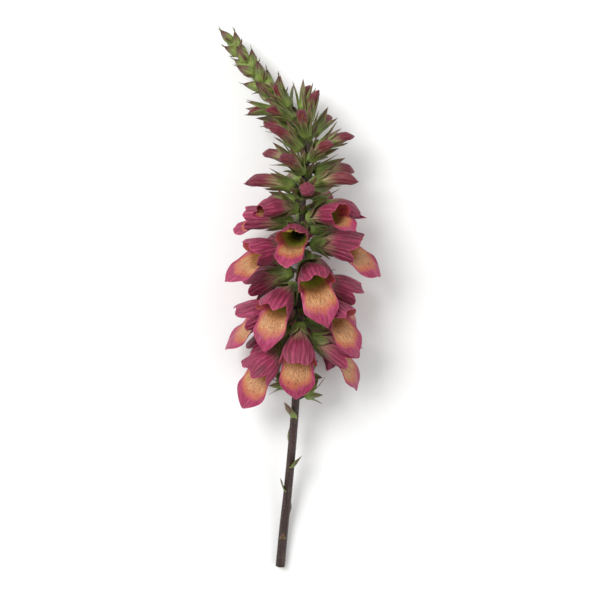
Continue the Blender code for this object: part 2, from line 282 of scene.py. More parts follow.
def side_frame(line, distance, turn, pitch, reach=0.0):
    """The frame of what grows from a line: +Z leaves it at this turn from straight up, +Y looks to the tip.

    Its axis is the outward direction times cos(pitch) plus the line's direction times sin(pitch).
    """
    point, tangent, outward = side_of(line, distance, turn)
    axis = outward * cos(pitch) + tangent * sin(pitch)
    back = tangent * cos(pitch) - outward * sin(pitch)
    return np.stack([np.cross(back, axis), back, axis], -1), point + axis * reach


def normals(points):
    """Unit normals of a grid that is closed round its columns: its step round times its step along.

    The first row takes the mean of the second, because the grid may shrink to a point there.
    """
    around = np.roll(points, -1, -2) - np.roll(points, 1, -2)
    along = np.gradient(points, axis=-3)
    normal = unit(np.cross(around, along))
    normal[..., 0, :, :] = unit(normal[..., 1, :, :].mean(-2, keepdims=True))
    return normal


def put(name, data):
    """A new object in the scene."""
    made = bpy.data.objects.new(name, data)
    bpy.context.scene.collection.objects.link(made)
    return made


class Growth:
    """Grids of points gathered into one mesh, with a pattern map and two vectors on every point.

    A grid is rows by columns, closed round its columns, and may hold several copies in front.
    """

    def __init__(self):
        self.grids = []
        self.count = 0

    def add(self, points, pattern, place, state, finish, flip=False):
        rows, columns = points.shape[-3:-1]
        points = points.reshape(-1, rows, columns, 3)
        copies = len(points)
        copy, row, column = np.mgrid[:copies, : rows - 1, :columns]
        here, there = (copy * rows + row) * columns, (column + 1) % columns
        above = here + columns
        faces = np.stack([here + column, here + there, above + there, above + column], -1).reshape(-1, 4)
        pattern = np.broadcast_to(pattern, (copies, rows, columns + 1, 2))
        corners = [pattern[:, :-1, :-1], pattern[:, :-1, 1:], pattern[:, 1:, 1:], pattern[:, 1:, :-1]]
        maps = np.stack(corners, -2).reshape(-1, 4, 2)
        if flip:
            faces, maps = faces[:, ::-1], maps[:, ::-1]
        place, state = (np.broadcast_to(values, points.shape).reshape(-1, 3) for values in (place, state))
        points, kind = points.reshape(-1, 3), np.full(len(faces), finish)
        self.grids.append((points, faces + self.count, maps, place, state, kind))
        self.count += len(points)

    def body(self, place_of, turns, rows, place, state, finish):
        """A closed body, worked out on a grid of turn and share and seated at its place."""
        points, pattern, facts = widened(place_of, turns, rows)
        self.add(seat(points, place), pattern, facts, state, finish)

    def leaf(self, length, width, curl, sway, place, state, finish):
        """A blade, seated at its place."""
        turns, sizes = np.linspace(0, tau, BLADE_GRID + 1), (length, width, curl, sway)
        self.body(lambda t, s: blade(t, s, *sizes), turns, BLADE_GRID, place, state, finish)

    def shell(self, points, thickness, pattern, place, state, finishes):
        """A thin sheet's two sides, half its thickness out and in along the normals, with a rounded rim."""
        half = normals(points) * thickness[..., None] / 2
        rim = points[-1] + unit(points[-1] - points[-2]) * np.linalg.norm(half[-1], axis=-1, keepdims=True)
        outside, inside = points + half, points - half
        edge = np.stack([outside[-1], rim, inside[-1]])
        place, state = (np.broadcast_to(values, points.shape) for values in (place, state))
        self.add(outside, pattern, place, state, finishes[0])
        self.add(inside, pattern, place, state, finishes[1], flip=True)
        last_row = (np.repeat(values[-1:], len(edge), 0) for values in (pattern, place, state))
        self.add(edge, *last_row, finishes[0])

    def build(self, name, finishes, nodes, least=CLEAR):
        """The mesh: above the surface, welded where points meet, smooth, riding on the spike's one body."""
        points, faces, maps, places, states, kinds = map(np.concatenate, zip(*self.grids))
        mesh = bpy.data.meshes.new(name)
        mesh.from_pydata(above_surface(points, least), [], faces)
        mesh.polygons.foreach_set("material_index", kinds)
        mesh.uv_layers.new(name="pattern").data.foreach_set("uv", maps.ravel())
        for label, values in (("place", places), ("state", states)):
            layer = mesh.attributes.new(label, "FLOAT_VECTOR", "POINT")
            layer.data.foreach_set("vector", values.ravel())
        welded = bmesh.new()
        welded.from_mesh(mesh)
        bmesh.ops.remove_doubles(welded, verts=welded.verts, dist=WELD)
        welded.to_mesh(mesh)
        welded.free()
        for finish in finishes:
            mesh.materials.append(finish)
        mesh.shade_smooth()
        piece = put(name, mesh)
        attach(piece, "root")
        if nodes:
            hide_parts(*nodes)


def map_of(across, along):
    """A pattern map: millimetres round and along a piece, one unit for 100 mm."""
    return np.stack(np.broadcast_arrays(across, along), -1) / (100 * MM)


def widened(place_of, turns, rows):
    """A grid's points and facts, with the pattern map one column wider, up to the seam's other side."""
    turn, share = np.meshgrid(turns, np.linspace(0, 1, rows))
    points, pattern, facts = place_of(turn, share)
    return points[:, :-1], pattern, facts[:, :-1]


def tube(growth, path, radius, sides, state, finish, ribs=0, rib_depth=0.0):
    """A round tube carried along a path of points, closed to a point at both ends.

    Each ring lies square to the path; ribs deepen the radius by a cosine of the turn.
    """
    way = unit(np.gradient(path, axis=0))
    side = unit(np.cross(way, (0.31, 0.27, 0.91)))
    over = np.cross(side, way)
    turn = np.arange(sides) / sides * tau
    radius = np.broadcast_to(radius, len(path))[:, None] * (1 + rib_depth * np.cos(ribs * turn)[None])
    around = side[:, None] * np.cos(turn)[:, None] - over[:, None] * np.sin(turn)[:, None]
    ring = path[:, None] + radius[..., None] * around
    first, last = (np.repeat(path[None, [end]], sides, 1) for end in (0, -1))
    marks = np.pad(distances(path), 1, "edge")[:, None]
    turned = np.append(turn, tau)[None] * float(np.mean(radius))
    place = vector(marks / marks[-1], np.cos(turn)[None], 0)
    growth.add(np.concatenate([first, ring, last]), map_of(turned, marks), place, state, finish)


# ---- one flower


class Flower:
    """How far one flower is open, its sizes, and its habit: from -1, a straight lip, to 1, a curled one."""

    def __init__(self, length, opening, habit, sepal):
        self.length, self.opening, self.habit, self.sepal = length, opening, habit, sepal
        self.tube = length * mix(0.68, 0.50, opening)
        self.mouth = length * mix(0.110, 0.195, opening)
        self.neck = length * mix(0.066, 0.062, opening)
        self.bend = radians(mix(8, 24, opening))

    def radius(self, height):
        """The tube's radius: a narrow neck in the calyx that swells into the bell."""
        share = height / self.tube
        return np.sqrt(rise(share / 0.09)) * mix(self.neck, self.mouth, rise((share - 0.08) / 0.86))

    def bent(self, x, y, height):
        """A point of the straight bell, turned down round an arc past a quarter of its length."""
        start = 0.26 * self.length
        bow = (self.length - start) / self.bend
        angle = np.maximum(0.0, (height - start) / bow)
        y, height = (bow + y) * np.cos(angle) - bow, np.minimum(height, start) + (bow + y) * np.sin(angle)
        return vector(x, y, height)

    def within(self, turn, share, inset):
        """A point inside the tube, at a share of its length and of its radius."""
        height = share * self.tube
        radius = self.radius(height) * inset
        return self.bent(radius * np.sin(turn), -radius * np.cos(turn), height)


def lobe(turn, centre, half_width, sharpness):
    """A rounded lobe's reach, 1 at its centre and 0 at its two notches: (1 - s^sharpness)^0.7."""
    away = np.abs((turn - centre + pi) % tau - pi) / half_width
    return np.maximum(0.0, 1 - away**sharpness) ** 0.7


def lobe_turns(tongue, side, hood):
    """Turns round the mouth, from the hood's middle to it again, closer together towards each notch.

    Over each lobe they follow half a cosine wave. The hood's lobe is cut in two, at both ends.
    """
    lobes = ((-240, 120, hood), (-120, 60, side), (-60, 120, tongue), (60, 60, side), (120, 120, hood))
    turns = [low + wide * (1 - np.cos(np.arange(count) / count * pi)) / 2 for low, wide, count in lobes]
    return np.append(np.radians(np.concatenate(turns)[hood // 2 : -hood // 2]), pi)


def corolla_sheet(flower, turn, share, wave, phase):
    """The petals of one flower as a sheet of turn and share.

    Up to share 0.5 the rows climb the tube; past it they run out over the lobes, whose reach is a sum of
    lobes: a long tongue at turn 0, two side lobes a quarter turn away and a hood behind, notched between two
    corners. Each lobe curls by an arc of its own and waves by sines of the turn, and a tongue swings a little
    to one side. A closed flower tapers to a beak, with lengthwise folds. Returns the points, the pattern map,
    where on the petals each point is and how far from their margin.
    """
    length, opening = flower.length, flower.opening
    climb, out = np.minimum(1.0, share * 2), np.maximum(0.0, share * 2 - 1)
    tongue = lobe(turn, 0, WIDE_LOBE, 2.0)
    sides = sum(lobe(turn, side * pi / 2, SIDE_LOBE, 2.2) for side in (-1, 1))
    behind = pi - np.abs(turn)
    notch = (0.20 + 0.10 * sin(phase * 2.1)) * hump(behind, radians(15))
    corners = 0.13 * hump(behind - radians(31), radians(14))
    corners = corners * (1 + 0.9 * np.sin(np.sign(turn) + phase))
    hood = lobe(turn, pi, WIDE_LOBE, 3.0) * (1 - notch + corners)
    point = (POINT_REACH + 0.025 * flower.habit) * hump(turn, radians(9))
    lobes = TONGUE_REACH * tongue + point + SIDE_REACH * sides + HOOD_REACH * hood + RIM_REACH
    reach = length * mix(0.20, lobes, opening**1.6) * mix(0.70, 1.0, opening)
    past = reach * out

    curl = (TONGUE_CURL + 0.5 * flower.habit) * tongue + SIDE_CURL * sides + HOOD_CURL * hood
    curl = curl / length * mix(0.3, 1.0, opening) + NEVER_STRAIGHT
    lean = radians(mix(-2, 5, opening))
    turned = lean + curl * past
    closed = rise((SHUTS_BELOW - opening) / 0.26)
    pinch = 1 - closed * (0.20 * rise((climb - 0.6) / 0.4) + 0.78 * out**1.5)
    folds = np.cos(turn * 5 + phase) * 0.6 + np.cos(turn * 8 - phase * 2) * 0.4
    creased = 1 + mix(0.075, 0.030, opening) * folds * rise(climb * 1.2 - 0.2) * (1 - 0.6 * out)
    edge = flower.tube * (1 - 0.05 * (1 - np.cos(turn)) * opening)
    radius = (flower.radius(edge * climb) + (cos(lean) - np.cos(turned)) / curl) * pinch * creased
    height = edge * climb + (np.sin(turned) - sin(lean)) / curl

    widen = 1 + 0.16 * opening * rise(height / flower.tube - 0.3)
    on_lip = np.where(tongue > 0, rise(past / (0.25 * length)), 0)
    narrowed = 1 - 0.24 * opening * rise((past / length - 0.28) / 0.27)
    flared = flower.radius(edge) * pinch * (1 + 0.42 * rise(past / (0.36 * length)) * opening) * narrowed
    across = mix(radius, flared, on_lip)
    cup = 1 - 1.6 * on_lip * opening
    waves = np.sin(turn * 5 + phase) + 0.7 * np.sin(turn * 11 + phase * 3)
    ripple = wave * out**2 * waves * mix(0.3, 1, opening) * np.where(tongue > 0, 1.0, -np.cos(turn))
    away = np.minimum(1.0, np.abs(turn) / WIDE_LOBE)
    keel = 0.5 * MM * opening * on_lip * (1 - away) ** 2 * np.sin(phase * 2)
    swing = 0.035 * length * out**2 * sin(phase * 1.3) * np.where(tongue > 0, 1.0, 0.3)
    beak = 0.07 * length * closed * (climb**3 + out)
    x = across * np.sin(turn) * widen + swing
    y = radius * ((1 - np.cos(turn)) * cup - 1) / widen - ripple - keel - beak
    pattern = map_of(turn * flower.mouth * 1.15, edge * climb + past)
    return flower.bent(x, y, height), pattern, vector(climb, out, away), reach - past


def sepal_turns(count):
    """Turns round five sepals, each with this many steps from tip to notch, closer at the notch."""
    q = 1 - (1 - np.arange(count) / count) ** 1.7
    steps = np.concatenate([q, [1.0], 2 - q[:0:-1]]) / 2
    return np.append((steps + np.arange(5)[:, None]).ravel(), 5) / 5 * tau


def sepal_away(turn):
    """How far a turn is from its sepal's middle: 0 there and 1 in the notch."""
    return np.abs((turn * 5 / tau + 0.5) % 1 - 0.5) * 2


def calyx_sheet(flower, turn, share, spread):
    """A calyx as a sheet of turn and share: a cup round the tube's neck that ends in five pointed sepals.

    A sepal's reach is the root of 1 - s, times its height past the cup, with a needle on its tip. Its middle
    stands out as a keel, and it leans out by the square of the height, each sepal by its own share. Returns
    the points, the pattern map and how far along and how near an edge each point is.
    """
    away = sepal_away(turn)
    tall, low = flower.sepal, flower.length * 0.105
    reach = low + (tall - low) * (1 - away) ** 0.50 + 0.08 * flower.sepal * hump(away, 0.07)
    height = reach * share
    inner = flower.radius(np.maximum(height, 0.10 * flower.tube)) + 0.75 * MM + SEAT_GAP
    keel = (0.45 * (1 - away) ** 2 - 0.35 * away**2 * (1 - share)) * MM * rise(share * 4)
    leaning = 1 + 0.8 * np.sin(np.floor(turn * 5 / tau + 0.5) * 2.4 + flower.habit * 5)
    radius = inner * 1.03 + keel + spread * leaning * height * height / tall
    radius = radius * np.sqrt(rise(height / (0.06 * flower.length)))
    points = vector(radius * np.sin(turn), -radius * np.cos(turn), height - 1.2 * MM)
    return points, map_of(turn * flower.neck * 1.5, height), vector(height / tall, share, 0)


def sepal_grid(flower, spread):
    """The grid of one calyx: its points, its pattern map and its facts."""
    return widened(lambda turn, share: calyx_sheet(flower, turn, share, spread), sepal_turns(6), 11)


def sepal_spread(flower):
    """How far the sepals of a flower lean out: more round a bud than round an open bell."""
    return mix(0.13, 0.05, flower.opening)


def blade(turn, share, length, width, curl, sway):
    """A narrow pointed leaf as a closed body of half width sin(pi s^0.72)^0.8, folded along its middle.

    It curls back and sways aside by the square of the share along it, and its edges wave.
    """
    swell = np.sin(pi * share**0.72).clip(0) ** 0.8
    x = np.sin(turn) * width * swell
    y = curl * length * share**2 - np.cos(turn) * BLADE_DEPTH * swell + BLADE_FOLD * np.abs(x)
    y = y + BLADE_WAVE * np.sin(share * 11 + curl * 60) * np.abs(np.sin(turn)) * swell
    x = x + sway * length * share**2
    facts = vector(share, np.abs(np.sin(turn)) ** 3, 0)
    return vector(x, y, share * length), map_of(x, share * length), facts


def bud_body(turn, share, length, width, depth):
    """A closed bud of five sepals: a spindle like the blade's, grooved between them."""
    away = sepal_away(turn)
    swell = np.sin(pi * share**0.66).clip(0) ** 0.9 * (1 + 0.09 * (1 - 2 * away) * rise(share * 5))
    shortened = 0.10 * away * rise((share - 0.45) / 0.4) * (1 - rise((share - 0.9) / 0.1))
    height = length * share * (1 - shortened)
    y = BUD_CURL * length * share**2 - np.cos(turn) * depth * swell
    points = vector(np.sin(turn) * width * swell, y, height)
    return points, map_of(turn * width, height), vector(share, away**2, 0)


# ---- where each bloom stands


class Bloom:
    """The place and the state of one bloom on the stem."""

    def __init__(self, index, chance, sizes):
        share = index / (BLOOMS - 1)
        self.index, self.share = index, share
        gaps = mix(STEP_LOW, STEP_HIGH, rise(np.arange(index) / 9 - 1))
        self.distance = FIRST_BLOOM + gaps.sum()
        aside, lifted = PUSHED.get(index, (0, 0))
        aside = radians(aside + chance.uniform(-TURN_PLAY, TURN_PLAY))
        self.turn = FIRST_TURN + index * GOLDEN_ANGLE + aside
        pitch = float(np.interp(share, *zip(*PITCHES))) + chance.uniform(-PITCH_PLAY, PITCH_PLAY) + lifted
        pitch = radians(pitch) + SIDE_LIFT * abs(sin(self.turn)) * rise((0.5 - share) * 4)
        opening = float(1 - rise((share - WIDE_OPEN) / (ALL_CLOSED - WIDE_OPEN)))
        length = mix(sizes.flower, sizes.bud, max(0.0, (share - 0.3) / 0.7) ** 0.9)
        length *= chance.uniform(SHORTEST, 1.0)
        sepal = mix(sizes.bud_sepal, sizes.open_sepal, opening)
        self.flower = Flower(length, opening, sin(index * 2.4), sepal)
        foot, origin = side_frame(STEM, self.distance, self.turn, PEDICEL_PITCH, PEDICEL_REACH)
        self.foot_way = foot[:, 2]
        roll = SIDE_ROLL * sin(self.turn) + OWN_ROLL * sin(index * 4.1)
        rolled = np.array([(cos(roll), -sin(roll), 0), (sin(roll), cos(roll), 0), (0, 0, 1)])
        self.frame = (side_frame(STEM, self.distance, self.turn, pitch)[0] @ rolled, origin)


def all_blooms(sizes):
    chance = random.Random(11)
    return [Bloom(index, chance, sizes) for index in range(BLOOMS)]


def arc(start, way, end, arrival, steps):
    """A cubic curve that leaves along one direction and arrives along another."""
    reach = np.linalg.norm(end - start) * 0.4
    t = np.linspace(0, 1, steps)[:, None]
    first, second = start + way * reach, end - arrival * reach
    return start * (1 - t) ** 3 + 3 * first * t * (1 - t) ** 2 + 3 * second * t**2 * (1 - t) + end * t**3


# ---- finishes


class Wire:
    """A shader value: +, - and * on it add a Math node each, with numbers on either side."""

    def __init__(self, finish, socket):
        self.finish, self.socket = finish, socket

    def __add__(self, other):
        return self.finish.maths("ADD", self, other)

    def __sub__(self, other):
        return self.finish.maths("SUBTRACT", self, other)

    def __rsub__(self, other):
        return self.finish.maths("SUBTRACT", other, self)

    def __mul__(self, other):
        return self.finish.maths("MULTIPLY", self, other)

    __radd__ = __add__
    __rmul__ = __mul__

    def rise(self, low, high):
        """0 at low, 1 at high and smooth between."""
        sockets = {0: self, 1: low, 2: high, 3: 0.0, 4: 1.0}
        return self.finish.node("MapRange", sockets, interpolation_type="SMOOTHSTEP", clamp=True)

    def fall(self, low, high):
        """1 at low, 0 at high and smooth between."""
        return 1 - self.rise(low, high)

    def sine(self):
        return self.finish.maths("SINE", self)

    def larger(self, other):
        return self.finish.maths("MAXIMUM", self, other)


class Finish:
    """A material in the making: coats of colour, a roughness and a relief before one Principled shader.

    spot holds the object coordinates, in metres.
    """

    def __init__(self, name, colour, **fixed):
        self.material = bpy.data.materials.new(name)
        self.material.use_nodes = True
        self.tree = self.material.node_tree
        self.shader = self.tree.nodes["Principled BSDF"]
        self.colour = colour
        self.spot = self.node("TexCoord", {}, 3)
        for label, value in fixed.items():
            self.shader.inputs[label.replace("_", " ")].default_value = value

    def node(self, kind, sockets, output=0, **settings):
        made = self.tree.nodes.new("ShaderNode" + kind)
        for label, value in settings.items():
            setattr(made, label, value)
        for key, value in sockets.items():
            if isinstance(value, Wire):
                self.tree.links.new(value.socket, made.inputs[key])
            else:
                made.inputs[key].default_value = value
        return Wire(self, made.outputs[output])

    def maths(self, operation, *values):
        return self.node("Math", dict(enumerate(values)), operation=operation)

    def blend(self, share, first, second):
        """A colour between two others."""
        first, second = (c if isinstance(c, Wire) else (*c, 1.0) for c in (first, second))
        return self.node("Mix", {0: share, 6: first, 7: second}, 2, data_type="RGBA")

    def coat(self, share, colour):
        """Lays a colour over those so far, as thick as its share."""
        self.colour = self.blend(share, self.colour, colour)

    def split(self, wire):
        made = self.node("SeparateXYZ", {0: wire}).socket.node
        return [Wire(self, socket) for socket in made.outputs]

    def facts(self, name):
        """The three numbers of a vector that the mesh holds on every point."""
        return self.split(self.node("Attribute", {}, 1, attribute_name=name))

    def pattern(self):
        """Millimetres round and along the piece."""
        x, y, _ = self.split(self.node("UVMap", {}, uv_map="pattern"))
        return x * 100.0, y * 100.0

    def noise(self, scale, detail=2.0, where=None):
        """Noise in space, or over another vector."""
        return self.node("TexNoise", {"Vector": where or self.spot, "Scale": scale, "Detail": detail})

    def join(self, x, y, z):
        return self.node("CombineXYZ", {0: x, 1: y, 2: z})

    def grain(self, x, y, seed, detail=2.0):
        """Noise stretched over the piece's pattern, unlike that of any other seed."""
        return self.noise(1.0, detail, self.join(x, y, seed))

    def cells(self, where, scale=1.0):
        """The distance to the nearest of many strewn points."""
        return self.node("TexVoronoi", {"Vector": where, "Scale": scale})

    def feed(self, label, wire):
        self.tree.links.new(wire.socket, self.shader.inputs[label])

    def done(self, roughness, heights=None, strength=0.0, depth=0.0):
        """The material, with its colours, this roughness and a relief of this height."""
        self.feed("Base Color", self.colour)
        self.feed("Roughness", roughness)
        if heights is not None:
            sockets = {"Strength": strength, "Distance": depth, "Height": heights}
            self.feed("Normal", self.node("Bump", sockets))
        return self.material


PETAL_BODY = dict(Subsurface_Weight=0.10, Subsurface_Radius=(1.0, 0.35, 0.25), Subsurface_Scale=1.2 * MM)
LEAF_BODY = dict(Subsurface_Weight=0.06, Subsurface_Radius=(0.5, 1.0, 0.2), Subsurface_Scale=0.9 * MM)

# Shades between the main colours: of the bells, of sepals and bracts, of the stem, then of the threads.
RUSSET, AMBER = (0.30, 0.095, 0.045), (0.56, 0.22, 0.09)
GOLD, OCHRE, UMBER = (0.68, 0.36, 0.16), (0.40, 0.17, 0.045), (0.30, 0.115, 0.040)
ORANGE, HOOD_RED = (0.56, 0.120, 0.036), (0.42, 0.085, 0.040)
# The darker throat colour is painted shade, laid deep in the tube.
THROAT_LIGHT, THROAT_SHADE = (0.36, 0.34, 0.03), (0.05, 0.055, 0.006)
RIB_GREEN, FOOT_GREEN, EDGE_GREEN = (0.34, 0.44, 0.10), (0.27, 0.37, 0.07), (0.34, 0.38, 0.10)
RIDGE_BROWN, OLIVE, STEM_GREEN = (0.085, 0.036, 0.030), (0.10, 0.085, 0.035), (0.235, 0.255, 0.080)
PITH_LIGHT, PITH_DARK = (0.50, 0.52, 0.28), (0.32, 0.36, 0.16)
POLLEN, ANTHER_DOT, FILAMENT = (0.80, 0.62, 0.16), (0.20, 0.06, 0.04), (0.66, 0.60, 0.36)
STYLE_GREEN, STYLE_PURPLE = (0.20, 0.26, 0.07), (0.17, 0.050, 0.045)
HAIR_ROOT, HAIR_TIP = (0.20, 0.10, 0.08), (0.62, 0.56, 0.46)


def bell_outside(c):
    """Outside of the bells: raspberry with a cream neck, pale pink painted highlights on the raised bands and
    margins, and crimson painted shade in the folds between the bands.
    """
    skin = Finish("bell_outside", c.raspberry, Sheen_Weight=0.04, Sheen_Roughness=0.45, **PETAL_BODY)
    climb, out, away = skin.facts("place")
    opening, margin, tint = skin.facts("state")
    x, y = skin.pattern()
    streak = skin.grain(x * 1.1, y * 0.07, tint * 9, 3)
    vein = skin.grain(x * 2.4, y * 0.05, tint * 5)
    bands = (x * 1.7 + skin.grain(x * 0.3, y * 0.10, tint * 3) * 9).sine() * 0.5 + 0.5
    cloud = skin.noise(75.0, 3)
    velvet = skin.noise(2600.0)
    # Painted highlight: pale pink laid on the raised bands and veins, where the relief lifts the surface.
    light = (bands * 0.55 + vein.rise(0.42, 0.60) * 0.6) * streak.rise(0.32, 0.66)
    skin.coat(light * opening.rise(0.05, 0.7), c.rose_highlight)
    skin.coat(vein.fall(0.34, 0.52) * 0.85, c.crimson)
    # Painted shade: crimson laid in the folds between the raised bands.
    fold_shade = (1 - bands).rise(0.40, 0.95) * (streak + vein).rise(0.75, 1.15)
    skin.coat(fold_shade * (1 - out.rise(0.35, 1.0) * 0.7) * 0.62, c.crimson)
    skin.coat(cloud.rise(0.45, 0.66) * 0.55, c.crimson)
    skin.coat(opening.fall(0.0, 0.6) * 0.60, c.crimson)
    skin.coat(tint.rise(-0.3, 1.0) * 0.22, c.crimson)
    skin.coat(opening.fall(0.0, 0.5) * (streak * 0.7 + vein * 0.5).rise(0.56, 0.76) * 0.5, RUSSET)
    neck = (climb + (streak - 0.5) * 0.6 + (vein - 0.5) * 0.3).fall(0.28, 0.84) * out.fall(0.0, 0.3)
    skin.coat(neck * (0.90 - opening * 0.35), c.cream)
    belly = (1 - away) * climb.rise(0.2, 0.6) * out.fall(0.0, 0.5) * streak.rise(0.3, 0.7)
    skin.coat(belly * 0.55, AMBER)
    # Painted highlight: pale pink along the last millimetre of the petal's margin.
    skin.coat(margin.fall(0.0, 1.1 * MM) * 0.35, c.rose_highlight)
    heights = bands * 0.9 + streak * 0.9 + vein * 0.6 + cloud * 0.8 + velvet * 0.1
    return skin.done(velvet * 0.16 + 0.42, heights, 0.9, 0.7 * MM)


def bell_inside(c):
    """Inside of the bells: an apricot tongue with dark dashes and a raspberry rim with pale pink painted
    highlights, and a green throat darkened by painted shade deeper in the tube.
    """
    skin = Finish("bell_inside", c.apricot, Sheen_Weight=0.06, Sheen_Roughness=0.45, **PETAL_BODY)
    climb, out, away = skin.facts("place")
    _, margin, tint = skin.facts("state")
    x, y = skin.pattern()
    streak = skin.grain(x * 1.3, y * 0.10, tint * 9, 3)
    vein = skin.grain(x * 2.2, y * 0.22, tint * 4, 3)
    cloud = skin.noise(90.0, 3)
    velvet = skin.noise(2200.0)
    wander = (cloud - 0.5) * 0.42 + (streak - 0.5) * 0.26
    tip = (out + wander - tint * 0.07).rise(0.34, 0.72)
    edge = (away + wander * 0.7).rise(0.60, 0.95)
    skin.coat(streak.rise(0.3, 0.7), GOLD)
    skin.coat(out.fall(0.0, 0.25) * 0.6, OCHRE)
    skin.coat(vein.fall(0.38, 0.54) * 0.45, UMBER)
    # Painted highlight: pale pink streaks over the raspberry lip.
    lip = skin.blend(streak.rise(0.40, 0.72) * 0.7, c.raspberry, c.rose_highlight)
    lip = skin.blend(vein.fall(0.34, 0.52) * 0.5, lip, c.crimson)
    turning = tip.larger(edge)
    skin.coat(turning, lip)
    skin.coat(turning * (1 - turning) * 2.1, ORANGE)
    marks = skin.cells(skin.join(x * 1.15, y * 0.42, tint * 5))
    small = skin.cells(skin.join(x * 2.1 + 7.0, y * 0.80, tint * 5))
    spots = marks.fall(0.16, 0.32).larger(small.fall(0.16, 0.34) * 0.8)
    spots = spots * (1 - tip * 0.5) * (1 - edge * 0.8) * climb.rise(0.55, 0.9)
    skin.coat(spots * 0.85, c.speckle)
    skin.coat(away.rise(0.96, 1.0), skin.blend(streak.rise(0.3, 0.8), HOOD_RED, c.raspberry))
    throat = skin.blend(streak.rise(0.35, 0.7), c.throat, THROAT_LIGHT)
    # Painted shade: the throat darkens towards the bottom of the tube.
    throat = skin.blend(climb.fall(0.2, 0.75), throat, THROAT_SHADE)
    skin.coat((climb + wander * 0.3).fall(0.66, 0.94), throat)
    # Painted highlight: pale pink along the margin of the lips.
    skin.coat(margin.fall(0.0, 0.9 * MM) * 0.4, c.rose_highlight)
    heights = streak * 0.8 + vein * 0.6 + cloud + spots * -0.4 + velvet * 0.12
    return skin.done(velvet * 0.16 + 0.40, heights, 0.65, 0.45 * MM)


def leaf_green(name, green, purple):
    """Sepals and bracts: green with paler ribs, foot and edges, purple-brown to their tips, and downy."""
    skin = Finish(name, green, Sheen_Weight=0.03, Sheen_Roughness=0.5, **LEAF_BODY)
    along, edge, _ = skin.facts("place")
    _, blush, tint = skin.facts("state")
    x, y = skin.pattern()
    rib = (x * 5.2 + skin.grain(x * 0.5, y * 0.2, tint * 3) * 3).sine() * 0.5 + 0.5
    streak = skin.grain(x * 1.5, y * 0.13, tint * 7, 3)
    cloud = skin.noise(120.0, 3)
    down = skin.noise(2400.0)
    # Brighter green in random patches of the cloud noise: uneven tone and painted highlights.
    skin.coat(cloud.rise(0.35, 0.7), tuple(value * 2.1 for value in green))
    skin.coat(rib * streak.rise(0.45, 0.62) * 0.6, RIB_GREEN)
    skin.coat((along + (streak - 0.5) * 0.5).fall(0.05, 0.5) * 0.75, FOOT_GREEN)
    shade = along + (cloud - 0.5) * 0.6 + (streak - 0.5) * 1.6 - edge * 0.10 + blush * 0.35
    skin.coat(shade.rise(0.50, 0.82) * 0.92, purple)
    skin.coat(edge.rise(0.66, 0.95) * along.fall(0.7, 1.0) * 0.45, EDGE_GREEN)
    heights = rib * 0.6 + streak * 0.7 + cloud * 0.5 + down * 0.15
    return skin.done(down * 0.2 + 0.42, heights, 0.65, 0.35 * MM)


def stem_skin(c):
    """The stem: purple-brown with paler ridges, green near the tip, and a pale pith where it is cut."""
    skin = Finish("stem_skin", c.stem, Sheen_Weight=0.08, Sheen_Roughness=0.5)
    share, _, _ = skin.facts("place")
    young, blush, tint = skin.facts("state")
    x, y = skin.pattern()
    streak = skin.grain(x * 1.6, y * 0.05, tint, 4)
    cloud = skin.noise(160.0, 3)
    down = skin.noise(1800.0, 3)
    skin.coat(streak.rise(0.42, 0.72) * 0.7, RIDGE_BROWN)
    skin.coat(cloud.rise(0.52, 0.75) * 0.35, OLIVE)
    skin.coat((young + (cloud - 0.5) * 0.5 + (streak - 0.5) * 0.3).rise(0.35, 0.85), STEM_GREEN)
    pith = skin.blend(skin.noise(1500.0), PITH_LIGHT, PITH_DARK)
    skin.coat(share.fall(0.0003, 0.0006) * blush, pith)
    return skin.done(down * 0.25 + 0.38, streak * 0.8 + cloud * 0.5 + down * 0.3, 0.6, 0.35 * MM)


def stamen_yellow(c):
    """Stamens: cream filaments and yellow anthers with purple dots and a grainy, pollen-covered relief."""
    skin = Finish("stamen_yellow", c.anther, Subsurface_Weight=0.1, Subsurface_Scale=0.6 * MM)
    on_anther, _, _ = skin.facts("state")
    grain = skin.noise(3000.0)
    skin.coat(grain.rise(0.3, 0.7), POLLEN)
    skin.coat(skin.cells(skin.spot, 900.0).fall(0.18, 0.36) * 0.6, ANTHER_DOT)
    skin.colour = skin.blend(on_anther, FILAMENT, skin.colour)
    return skin.done(grain * 0.3 + 0.45, grain, 0.5, 0.12 * MM)


def style_skin():
    """Styles: thin threads, green at the ovary and purple-brown towards the tip."""
    skin = Finish("style_skin", STYLE_GREEN)
    share, _, _ = skin.facts("place")
    grain = skin.noise(1400.0)
    skin.coat((share + (grain - 0.5) * 0.3).rise(0.05, 0.5), STYLE_PURPLE)
    return skin.done(grain * 0.2 + 0.4, grain, 0.3, 0.1 * MM)


def hair_down():
    """Hairs: pale and a little brown at the root."""
    skin = Finish("hair_down", HAIR_ROOT, Sheen_Weight=0.2)
    share, _, _ = skin.facts("place")
    grain = skin.noise(700.0)
    skin.coat((share + (grain - 0.5) * 0.6).rise(0.0, 0.7), HAIR_TIP)
    return skin.done(grain * 0.2 + 0.45)


def floor_paper(c):
    """The surface under the spike: pale, matt, with a very faint tooth."""
    skin = Finish("floor_paper", c.floor, Specular_IOR_Level=0.2)
    tooth = skin.noise(320.0, 3)
    skin.coat(tooth, tuple(min(1.0, value * 1.015) for value in c.floor))
    return skin.done(tooth * 0.1 + 0.75, tooth, 0.05, 0.1 * MM)


# ---- operators


